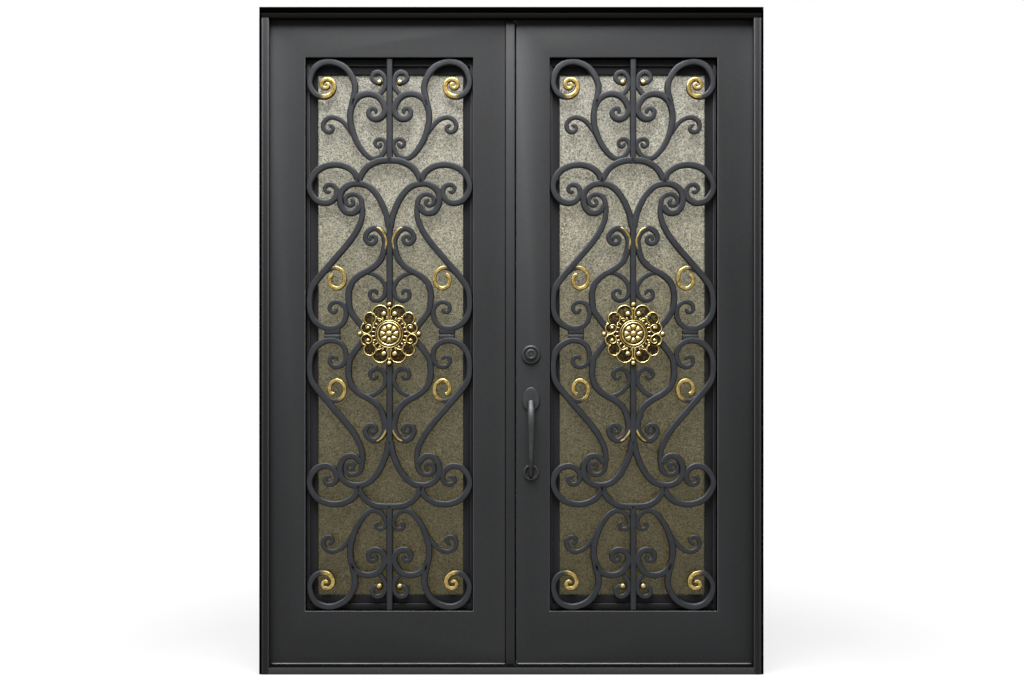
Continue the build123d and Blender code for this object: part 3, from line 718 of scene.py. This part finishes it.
def scroll_path(name, half_width, half_height, lower=False):
    """The points of one scroll with its width and its gilding, in millimetres from the middle of the grille. In the
    lower half some curls are wound less, and the arch is flatter."""
    scroll = scrolls[name]
    further = (lower_winding if lower else upper_winding).get(name, 0.0)
    shares = lower_arch if lower and name == "arch" else scroll.body

    def placed(share):
        return (share[0] * half_width, share[1] * half_height)

    def wound(start, curl):
        return winding(start, placed(curl.eye), curl.turns, further) if curl else []

    body = [placed(share) for share in shares]
    head, tail = wound(body[0], scroll.head)[::-1], wound(body[-1], scroll.tail)
    points = head + body + tail
    runs = [0.0]
    for before, after in zip(points, points[1:]):
        runs.append(runs[-1] + math.dist(before, after))
    path = []
    for index, (point, run) in enumerate(zip(points, runs)):
        share = run / runs[-1]
        full = min([1.0] + ([share / taper] if head else []) + ([(1 - share) / taper] if tail else []))
        width = tip_width + (scroll.width - tip_width) * full
        gilt = {"corner": index < len(head) - 2, "tendril": index > (2 if lower else 1)}.get(name, False)
        path.append(PathPoint(*point, width / bar_width, float(gilt)))
    return path


def vine_gold(half_width, half_height, first, last):
    """The gold line on the outer side of the vine's curl between two of its points, offset from its middle line."""
    aside = 4.6
    eye = scrolls["vine"].tail.eye
    path = []
    for point in scroll_path("vine", half_width, half_height)[first:last]:
        out = Vector((point.x - eye[0] * half_width, point.z - eye[1] * half_height)).normalized() * aside
        path.append(PathPoint(point.x + out.x, point.z + out.y, 1.0, 1.0))
    path[0] = path[0]._replace(scale=0.3)
    path[-1] = path[-1]._replace(scale=0.3)
    return path


def mirrored(path, x_sign, z_sign):
    """A path in another quarter."""
    return [PathPoint(point.x * x_sign, point.z * z_sign, point.scale, point.gilt) for point in path]


def in_metres(path):
    """A path drawn in millimetres, in metres."""
    return [PathPoint(point.x * mm, point.z * mm, point.scale, point.gilt) for point in path]


def straight(start, end, steps):
    """A straight path between two points."""
    ends = Vector(start), Vector(end)
    return [PathPoint(*ends[0].lerp(ends[1], step / steps), 1.0, 0.0) for step in range(steps + 1)]


def ball(shape, centre, radius, flatten):
    """Add a ball that is flattened front to back."""
    matrix = Matrix.Translation(centre) @ Matrix.Diagonal((1, flatten, 1, 1))
    bmesh.ops.create_icosphere(shape, subdivisions=3, radius=radius, matrix=matrix)


def joined(name, *meshes):
    """One mesh out of several, with its marks and materials."""
    objects = [into_scene(name, mesh) for mesh in meshes]
    with bpy.context.temp_override(active_object=objects[0], selected_editable_objects=objects):
        bpy.ops.object.join()
    mesh = objects[0].data
    bpy.data.objects.remove(objects[0])
    return mesh


# %% Grilles
quarters = [(x_sign, z_sign) for x_sign in (-1, 1) for z_sign in (-1, 1)]
collar_width, collar_depth_share = 60.0, 0.82
vine_gold_first, vine_gold_last = {1: 10, -1: 11}, 15


def bar_metal(mesh, gilt):
    """A mesh with the forged bars' finish and one gilt mark all over."""
    mark = mesh.attributes.new("gilt", "FLOAT", "POINT")
    mark.data.foreach_set("value", [gilt] * len(mesh.vertices))
    mesh.materials.append(forged_bar)
    return mesh


def grille(side):
    """The scroll grille of one leaf."""
    middle, half_width, half_height = opening(side)
    low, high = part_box(f"{side}_grille")
    depth = high.y - low.y
    centre = Vector((middle.x * mm, (low.y + high.y) / 2, middle.z * mm))

    def spot(x_share, z_share):
        return centre + Vector((x_share * half_width * mm, 0, z_share * half_height * mm))

    paths = []
    for name in scrolls:
        halves = {sign: scroll_path(name, half_width, half_height, sign < 0) for sign in (-1, 1)}
        paths += [mirrored(halves[signs[1]], *signs) for signs in quarters]
    top = (high.z - low.z) / 2 / mm
    foot = heart_foot * half_height
    paths.append(straight((0, -foot), (0, foot), steps=8))
    for z_sign in (-1, 1):
        paths.append(straight((0, z_sign * arch_crown * half_height), (0, z_sign * top), steps=4))
    section = (drawn_width * mm, depth, drawn_arris * mm)
    bars = swept(f"{side}_bars", [in_metres(path) for path in paths], section, centre, forged_bar)
    gold = {sign: vine_gold(half_width, half_height, vine_gold_first[sign], vine_gold_last) for sign in (-1, 1)}
    paths = [in_metres(mirrored(gold[signs[1]], *signs)) for signs in quarters]
    gold_place = Vector((centre.x, low.y + 2.4 * mm, centre.z))
    gold_lines = swept(f"{side}_gold_lines", paths, (8.5 * mm, 6 * mm, 2.4 * mm), gold_place, forged_bar)
    balls, collars = bmesh.new(), bmesh.new()
    tall = stem_foot * half_height * mm
    for x_sign, z_sign in quarters:
        ball(balls, spot(x_sign * bud_ball[0], z_sign * bud_ball[1]), bud_radius * mm, 0.8)
        collar_size = (collar_width * mm, depth * collar_depth_share, tall)
        block(collars, spot(x_sign * collar_middle, z_sign * stem_foot / 2), collar_size)
    balls = bar_metal(finished(balls, "buds"), 1.0)
    collars = bar_metal(settled("collars", finished(collars, "collars"), arris(5 * mm, 3)), 0.0)
    mesh = smoothed(joined(f"{side}_scrolls", bars, gold_lines, balls, collars), 38)
    return add_piece(f"{side}_scroll_grille", mesh, f"{side}_leaf", "grille_paint", [f"{side}_grille"])


for side in sides:
    told(grille(side))

# %% [markdown]
# ## Gilt medallion
# The medallion is a lobed cast plate with gold wire loops, pearls and a ringed rosette on it. The plate's outline is
# the furthest edge of a set of circles, met from the middle. The loops come from the bar tree with a round section.

# %% Medallion parts
lobes = [(32, 75, 32), (71, 56, 25), (82, 21, 24), (0, 0, 52), (0, 104, 8), (104, 0, 8)]


def lobe_reach(angle):
    """How far the plate reaches from its middle, in one direction."""
    ray = (abs(math.cos(angle)), abs(math.sin(angle)))
    reach = 0.0
    for x, z, radius in lobes:
        along = x * ray[0] + z * ray[1]
        aside = abs(x * ray[1] - z * ray[0])
        if aside < radius:
            reach = max(reach, along + math.sqrt(radius * radius - aside * aside))
    return reach


def bridge_rings(shape, rings):
    """Join neighbouring rings of points by faces. A ring of one point closes an end."""
    for first, second in zip(rings, rings[1:]):
        count = max(len(first), len(second))
        for step in range(count):
            after = (step + 1) % count
            corners = [first[step % len(first)], first[after % len(first)]]
            corners += [second[after % len(second)], second[step % len(second)]]
            shape.faces.new(list(dict.fromkeys(corners)))


def add_rings(shape, middle, rows, steps, outline=lambda angle: (1, 1)):
    """Add a closed solid of rings parallel to the leaf. A row is (half width, half height, y), a pole where it has no
    width, and the outline scales its width and height at an angle."""
    rings = []
    for half_width, half_height, y in rows:
        count = steps if half_width else 1
        ring = []
        for step in range(count):
            angle = math.tau * step / count
            wide, tall = outline(angle)
            x = middle.x + half_width * wide * math.cos(angle)
            ring.append(shape.verts.new((x, y, middle.z + half_height * tall * math.sin(angle))))
        rings.append(ring)
    bridge_rings(shape, rings)


def lobed_plate(shape, middle, back, front):
    """Add the plate with a rounded edge."""
    profile = ((0.0, back), (1.0, back), (1.0, back + (front - back) * 0.6), (0.97, front), (0.0, front))
    rows = [(share * mm, share * mm, y) for share, y in profile]
    add_rings(shape, middle, rows, 180, lambda angle: [lobe_reach(angle)] * 2)


def rosette(shape, middle, front):
    """Add a flower of eight petals round a button. The folds are marked for the dark wash."""
    mark = shape.verts.layers.float["gilt"]
    rows, count, radius, rise, button = 20, 128, 36 * mm, 9 * mm, 0.32
    rings = []
    for row in range(rows + 1):
        share = row / rows
        ring = []
        for step in range(count if row else 1):
            angle = math.tau * step / count
            petal = abs(math.cos(4 * angle)) ** 0.5
            if share < button:
                height, gold = math.sqrt(1 - (share / button) ** 2 * 0.75), 1.0
            else:
                swell = math.sin(math.pi * (share - button) / (1 - button)) ** 0.7
                height, gold = 0.12 + 0.62 * swell * petal, min(1.0, 1.6 * swell * petal)
            spot = share * radius
            vertex = shape.verts.new(
                (middle.x + spot * math.cos(angle), front - height * rise, middle.z + spot * math.sin(angle))
            )
            vertex[mark] = gold
            ring.append(vertex)
        rings.append(ring)
    bridge_rings(shape, rings)


def arc(centre, reach, start, end, steps=14, scale=1.0):
    """Points on an arc in the medallion, in degrees, with its own width and height."""
    points = []
    for step in range(steps + 1):
        angle = math.radians(start + (end - start) * step / steps)
        points.append(
            PathPoint(centre[0] + reach[0] * math.cos(angle), centre[1] + reach[1] * math.sin(angle), scale, 1.0)
        )
    return points


def wire_paths():
    """The wire loops of one quarter of the medallion, in millimetres."""
    top = [PathPoint(4, 50, 0.8, 1), PathPoint(3.5, 62, 0.9, 1)] + arc((32.5, 76), (29, 29), 190, -18)
    diagonal = arc((71, 57), (21.5, 22), 238, -52)
    side_scroll = arc((82, 21), (21, 20), 66, -100, 10)
    for radius, degrees, scale in ((18, -140, 0.95), (15, -190, 0.9), (11, -250, 0.85), (9, -320, 0.8), (6, -400, 0.8)):
        angle = math.radians(degrees)
        side_scroll.append(PathPoint(79 + radius * math.cos(angle), 24 + radius * math.sin(angle), scale, 1))
    leaf = [PathPoint(x, z, scale, 1) for x, z, scale in ((24, 50, 0.7), (34, 56, 0.9), (44, 57, 0.8), (47, 51, 0.5))]
    return [top, diagonal, side_scroll, leaf]


# %% Medallions
pearls = ((20, 73.5, 10.5), (58, 33, 5), (33, 48, 4.5), (48, 62, 5), (96, 38, 4.5), (78, 23, 7))
rims = ((41.5, 0.9), (49.5, 0.42))
tip_reach, leaf_count, leaf_ring = 108, 24, 60


def medallion(side):
    """The gilt medallion of one leaf."""
    low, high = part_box(f"{side}_medallion")
    middle = (low + high) / 2
    front = high.y - 3.5 * mm

    def spot(x, z, forward=0.0):
        return Vector((middle.x + x * mm, front - forward * mm, middle.z + z * mm))

    paths = [in_metres(mirrored(path, *signs)) for path in wire_paths() for signs in quarters]
    section = (5.4 * mm, 6.4 * mm, 2.6 * mm)
    wire = swept(f"{side}_wire", paths, section, spot(0, 0, 1.6), antique_gold, steps=(3, 3))
    paths = [in_metres(arc((0, 0), (radius, radius), 0, 345, 23, scale)) for radius, scale in rims]
    section = (9 * mm, 9 * mm, 4.4 * mm)
    rings = swept(f"{side}_rims", paths, section, spot(0, 0, 3.6), antique_gold, closed=(0, 1), steps=(4, 4))
    cast = bmesh.new()
    mark = cast.verts.layers.float.new("gilt")
    lobed_plate(cast, middle, high.y, front)
    for x_sign, z_sign in quarters:
        for x, z, radius in pearls:
            ball(cast, spot(x_sign * x, z_sign * z), radius * mm, 0.7)
    for sign in (-1, 1):
        for x, z in ((0, sign * tip_reach), (sign * tip_reach, 0)):
            ball(cast, spot(x, z, -1), 10 * mm, 0.9)
            ball(cast, spot(x * 0.86, z * 0.86), 6 * mm, 0.7)
    leaf_size = Matrix.Diagonal((8.5 * mm, 3.4 * mm, 3.7 * mm, 1))
    for step in range(leaf_count):
        angle = math.tau * (step + 0.5) / leaf_count
        turn = Matrix.Rotation(-angle, 4, "Y") @ leaf_size
        matrix = Matrix.Translation(spot(leaf_ring * math.cos(angle), leaf_ring * math.sin(angle))) @ turn
        bmesh.ops.create_icosphere(cast, subdivisions=2, radius=1, matrix=matrix)
    for vertex in cast.verts:
        vertex[mark] = 1.0
    rosette(cast, middle, front - 2.5 * mm)
    cast = finished(cast, "cast", 50)
    cast.materials.append(antique_gold)
    mesh = smoothed(joined(f"{side}_medal", wire, rings, cast), 50)
    return add_piece(f"{side}_rosette_medallion", mesh, f"{side}_leaf", "gilt_metal", [f"{side}_medallion"])


for side in sides:
    told(medallion(side))

# %% [markdown]
# ## Lock and pulls
# Roses and the deadbolt are turned, so a profile is spun round their axis. The plate is an egg with a raised rim. The
# grip is lofted: oval sections of changing size along a bowed line, as a forged and filed grip would be.


# %% Turned and lofted shapes
def turned(shape, centre, outwards, profile, steps=48):
    """Spin a profile of (radius, height) in millimetres round the axis through the centre, square to the leaf."""
    rows = [(radius * mm, radius * mm, centre.y + outwards * height * mm) for radius, height in profile]
    add_rings(shape, centre, rows, steps)


def egg_plate(shape, centre, outwards, half_width, half_height, rise):
    """Add an egg shaped plate, wider below, with a rounded rim and a shallow dish."""
    profile = (
        (0.0, 0.0), (1.0, 0.0), (1.0, 0.5), (0.985, 0.72), (0.95, 0.9), (0.9, 1.0), (0.6, 0.94), (0.3, 0.92),
        (0.0, 0.92),
    )
    rows = [(half_width * share, half_height * share, centre.y + outwards * height * rise) for share, height in profile]
    add_rings(shape, centre, rows, 64, lambda angle: ((1 - 0.1 * math.sin(angle)) / 1.006, 1))


def smooth_rows(rows, steps):
    """More rows between the given ones, on a smooth curve through them."""
    made = []
    for index in range(len(rows) - 1):
        p0, p1, p2, p3 = (rows[min(max(index + shift, 0), len(rows) - 1)] for shift in (-1, 0, 1, 2))
        for step in range(steps):
            t = step / steps
            made.append(
                [
                    0.5 * (2 * b + (c - a) * t + (2 * a - 5 * b + 4 * c - d) * t * t + (3 * b - a - 3 * c + d) * t**3)
                    for a, b, c, d in zip(p0, p1, p2, p3)
                ]
            )
    return made + [list(rows[-1])]


def grip(shape, root, outwards, rows, steps=28):
    """Loft oval sections along the grip. A row is (height, distance from the face, half width, half depth), in mm."""
    rings = []
    smooth = smooth_rows(rows, 5)
    for index, (height, away, half_width, half_depth) in enumerate(smooth):
        before, after = smooth[max(index - 1, 0)], smooth[min(index + 1, len(smooth) - 1)]
        lean = math.atan2(after[1] - before[1], after[0] - before[0])
        ring = []
        for step in range(steps):
            angle = math.tau * step / steps
            across, deep = half_width * math.cos(angle), half_depth * math.sin(angle)
            y = root.y + outwards * (away + deep * math.cos(lean)) * mm
            z = root.z + (height - deep * math.sin(lean)) * mm
            ring.append(shape.verts.new((root.x + across * mm, y, z)))
        rings.append(ring)
    ends = (sum((vertex.co for vertex in ring), Vector()) / len(ring) for ring in (rings[0], rings[-1]))
    first, last = ([shape.verts.new(end)] for end in ends)
    bridge_rings(shape, [first, *rings, last])


# %% Lock furniture
rose_profile = (
    (0, 0), (35.3, 0), (35.3, 2.4), (34.7, 4.6), (33.0, 6.6), (30.4, 7.9), (27.6, 8.2), (25.4, 7.4), (24.2, 5.8),
    (23.8, 4.4), (0, 4.2),
)
cylinder_profile = (
    (0, -1.6), (20.4, -1.6), (20.4, 4.4), (19.8, 6.4), (18.0, 8.0), (15.2, 8.8), (12.2, 8.6), (10.0, 7.6), (9.0, 6.4),
    (0, 6.4),
)
ring_profile = (
    (0, 0), (29.8, 0), (29.8, 3.6), (29.2, 5.6), (27.4, 7.2), (24.8, 7.9), (22.2, 7.5), (20.2, 6.2), (18.8, 4.6),
    (17.6, 4.1), (0, 4.0),
)
grip_rows = (
    (-15, 9, 4.5, 3), (-14.6, 11, 7.5, 6), (-11, 14, 9.6, 8.5), (-3, 19, 10.6, 9.2), (10, 26, 9.8, 8.6),
    (30, 36, 9.2, 7.6), (60, 43.5, 9.1, 6.8), (95, 47, 9.6, 6.3), (140, 48, 10.8, 6.2), (174, 46.5, 12.2, 6.3),
    (202, 42, 13.1, 6.7), (225, 33, 13.3, 7.2), (243, 22.5, 13.0, 7.8), (256, 13.5, 12.4, 8.0), (263, 9.5, 11.4, 6.2),
    (266, 8.2, 9.5, 3.0),
)


def lock_piece(name, cad_node, add, *values):
    """Make one piece of the lock and put it in place of its CAD node."""
    shape = bmesh.new()
    add(shape, *values)
    return add_piece(name, finished(shape, name, 35), "right_leaf", "lock_bronze", [cad_node], dark_bronze)


def root_of(cad_node, outwards):
    """The middle of the face by which a CAD node sits on the leaf."""
    low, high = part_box(cad_node)
    middle = (low + high) / 2
    return Vector((middle.x, high.y if outwards < 0 else low.y, middle.z))


for cad_node, outwards in (("deadbolt_rose", -1), ("thumbturn_rose", 1)):
    lock_piece(f"{cad_node}_turned", cad_node, turned, root_of(cad_node, outwards), outwards, rose_profile)
print("Roses turned with", len(rose_profile), "steps in the profile")


# %% Deadbolt cylinder with its keyway
def deadbolt_cylinder(shape):
    """Add the turned cylinder, its plug and the narrow keyway bars that stand in the plug's face."""
    root = root_of("deadbolt_cylinder", -1)
    turned(shape, root, -1, cylinder_profile)
    plug = ((0, 6.4), (6.2, 6.4), (6.2, 7.6), (5.6, 8.2), (0, 8.2))
    turned(shape, root, -1, plug, 32)
    for x, z, width, height in ((0, 0.6, 1.3, 6.6), (0.7, 1.2, 1.0, 2.2)):
        block(shape, root + Vector((x * mm, -8.2 * mm, z * mm)), (width * mm, 0.5 * mm, height * mm))


told(lock_piece("deadbolt_cylinder_turned", "deadbolt_cylinder", deadbolt_cylinder))


# %% Thumbturn
def thumbturn(shape):
    """Add the flat oval turn on its short neck."""
    low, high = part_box("thumbturn")
    sections = (
        (0.0, 0, 0), (0.0, 4.3, 8.5), (0.3, 4.2, 8.0), (0.45, 4.0, 12.0), (0.7, 4.2, 16.6), (0.9, 3.9, 16.9),
        (1.0, 2.2, 14.8), (1.0, 0, 0),
    )
    rows = [(wide * mm, tall * mm, low.y + (high.y - low.y) * share) for share, wide, tall in sections]
    add_rings(shape, (low + high) / 2, rows, 32)


told(lock_piece("thumbturn_oval", "thumbturn", thumbturn))

# %% Pulls
for where, outwards in (("outer", -1), ("inner", 1)):
    plate, rose = f"{where}_pull_plate", f"{where}_pull_rose"
    half = (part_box(plate)[1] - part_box(plate)[0]) / 2
    plate_root, ring_root = root_of(plate, outwards), root_of(rose, outwards)
    lock_piece(f"{where}_egg_plate", plate, egg_plate, plate_root, outwards, half.x, half.z, 2 * half.y)
    lock_piece(f"{where}_ring_rose", rose, turned, ring_root, outwards, ring_profile)
    lock_piece(f"{where}_forged_grip", f"{where}_pull_grip", grip, ring_root, outwards, grip_rows)
    print(where, "pull from", round(ring_root.z, 3), "to", round(plate_root.z, 3))

# %% [markdown]
# ## Bulb seal at the meeting line
# A rubber bulb on the left leaf's edge closes the line between the leaves. It is a plain rounded section, so the
# bar tree runs it straight up the edge. A small pad closes the line between the sweeps at the foot.

# %% Bulb seal
seal_low, seal_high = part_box("meeting_seal")
sweep_low, sweep_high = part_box("left_door_sweep")
right_sweep_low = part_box("right_door_sweep")[0]
bulb_width = 5.9 * mm
bulb_section = (bulb_width, seal_high.y - seal_low.y, 2.6 * mm)
bulb_place = Vector((seal_low.x + bulb_width / 2, (seal_low.y + seal_high.y) / 2, 0))
bulb_path = straight((0, sweep_low.z), (0, seal_high.z), steps=24)
bulb = swept("bulb", [bulb_path], bulb_section, bulb_place, seal_rubber, steps=(4, 1))
pad_size = Vector((right_sweep_low.x - sweep_high.x, sweep_high.y - sweep_low.y, sweep_high.z - sweep_low.z))
pad_middle = (sweep_low + sweep_high) / 2 + Vector(((right_sweep_low.x - sweep_low.x) / 2, 0, 0))
pad = bmesh.new()
block(pad, pad_middle, pad_size)
pad = settled("pad", finished(pad, "pad"), arris(0.2 * mm, 2))
pad.materials.append(seal_rubber)
bulb = smoothed(joined("bulb", bulb, pad))
made = add_piece("meeting_bulb", bulb, "left_leaf", "seal_rubber", ["meeting_seal"])
print("Pad between the sweeps:", measured(pad_size, 4))
print("Bulb seal:", measured(made.dimensions, 4))

# %% [markdown]
# ## Stage, light and camera
# The door stands on a wide white sheet in a white room. A large soft light hangs in front of the door and shines down
# past it, so that the leaves darken towards the foot, the head throws a soft shadow and each bar stands off the glass.
# The camera is level and its lens is shifted up, so upright lines stay upright, as in the photograph.


# %% Stage
def seen(tree):
    """1 for what the camera sees, directly, in a reflection or through glass, and 0 for what lights the door."""
    rays = node(tree, "ShaderNodeLightPath").outputs
    return combine(tree, "MAXIMUM", *(rays[f"Is {kind} Ray"] for kind in ("Camera", "Glossy", "Transmission")))


def stage_finish():
    """White paper that takes the door's shadow. Where it is seen it glows, so that it reads as white: a little less
    near the door, where the light falls on it too."""
    material, tree, shader = new_finish("stage_paper")
    tree.nodes.remove(shader)
    away = node(tree, "ShaderNodeVectorMath", {"operation": "LENGTH"}, _0=place(tree)).outputs["Value"]
    strength = combine(tree, "MULTIPLY", seen(tree), spread(tree, away, 1.5, 3.6, 0.74, 1.0))
    paper = node(tree, "ShaderNodeBsdfDiffuse", Color=(0.25, 0.25, 0.25, 1))
    glow = node(tree, "ShaderNodeEmission", Color=(1, 1, 1, 1), Strength=strength)
    both = node(tree, "ShaderNodeAddShader", _0=paper.outputs[0], _1=glow.outputs[0])
    fill(tree, tree.nodes["Material Output"], Surface=both.outputs[0])
    return material


floor = bmesh.new()
bmesh.ops.create_grid(floor, x_segments=4, y_segments=4, size=14.0)
sheet = into_scene("stage_sheet", finished(floor, "stage_sheet"))
sheet.data.materials.append(stage_finish())
print("Sheet:", measured(sheet.dimensions, 1))


# %% Light
def soft_light(name, place_at, aim, size, power):
    """A soft light that faces a point."""
    lamp = bpy.data.lights.new(name, "AREA")
    lamp.shape = "RECTANGLE"
    lamp.size, lamp.size_y = size
    lamp.energy = power
    obj = into_scene(name, lamp)
    obj.location = place_at
    obj.rotation_euler = (Vector(aim) - Vector(place_at)).to_track_quat("-Z", "Y").to_euler()


soft_light("key", (-0.3, -1.8, 4.6), (-0.3, -1.8, 0.0), (3.2, 2.8), 332)
soft_light("front_fill", (-1.6, -4.5, 2.6), (0, 0, 1.2), (2.5, 2.5), 3)
soft_light("back_fill", (0.8, 3.0, 5.4), (0, 0, 1.2), (2.5, 2.0), 70)
world = bpy.context.scene.world or bpy.data.worlds.new("studio")
bpy.context.scene.world = world
world.use_nodes = True
room = world.node_tree
fill(room, room.nodes["Background"], Color=(1, 1, 1, 1), Strength=between(room, seen(room), 0.025, 1.0))
bpy.context.scene.view_settings.view_transform = "Standard"
print("Lamps:", len(bpy.data.lights))

# %% Camera
camera_data = bpy.data.cameras.new("camera")
camera_data.sensor_width = 36
camera_data.lens = 33.73
camera_data.shift_y = 0.0791
camera_data.shift_x = 0.0006
camera_data.dof.use_dof = False
camera = into_scene("camera", camera_data)
camera.location = (0, -3.528, 0.92)
camera.rotation_euler = (math.pi / 2, 0, 0)
bpy.context.scene.camera = camera
print("Camera at", measured(camera.location, 2), "lens", round(camera_data.lens, 1))
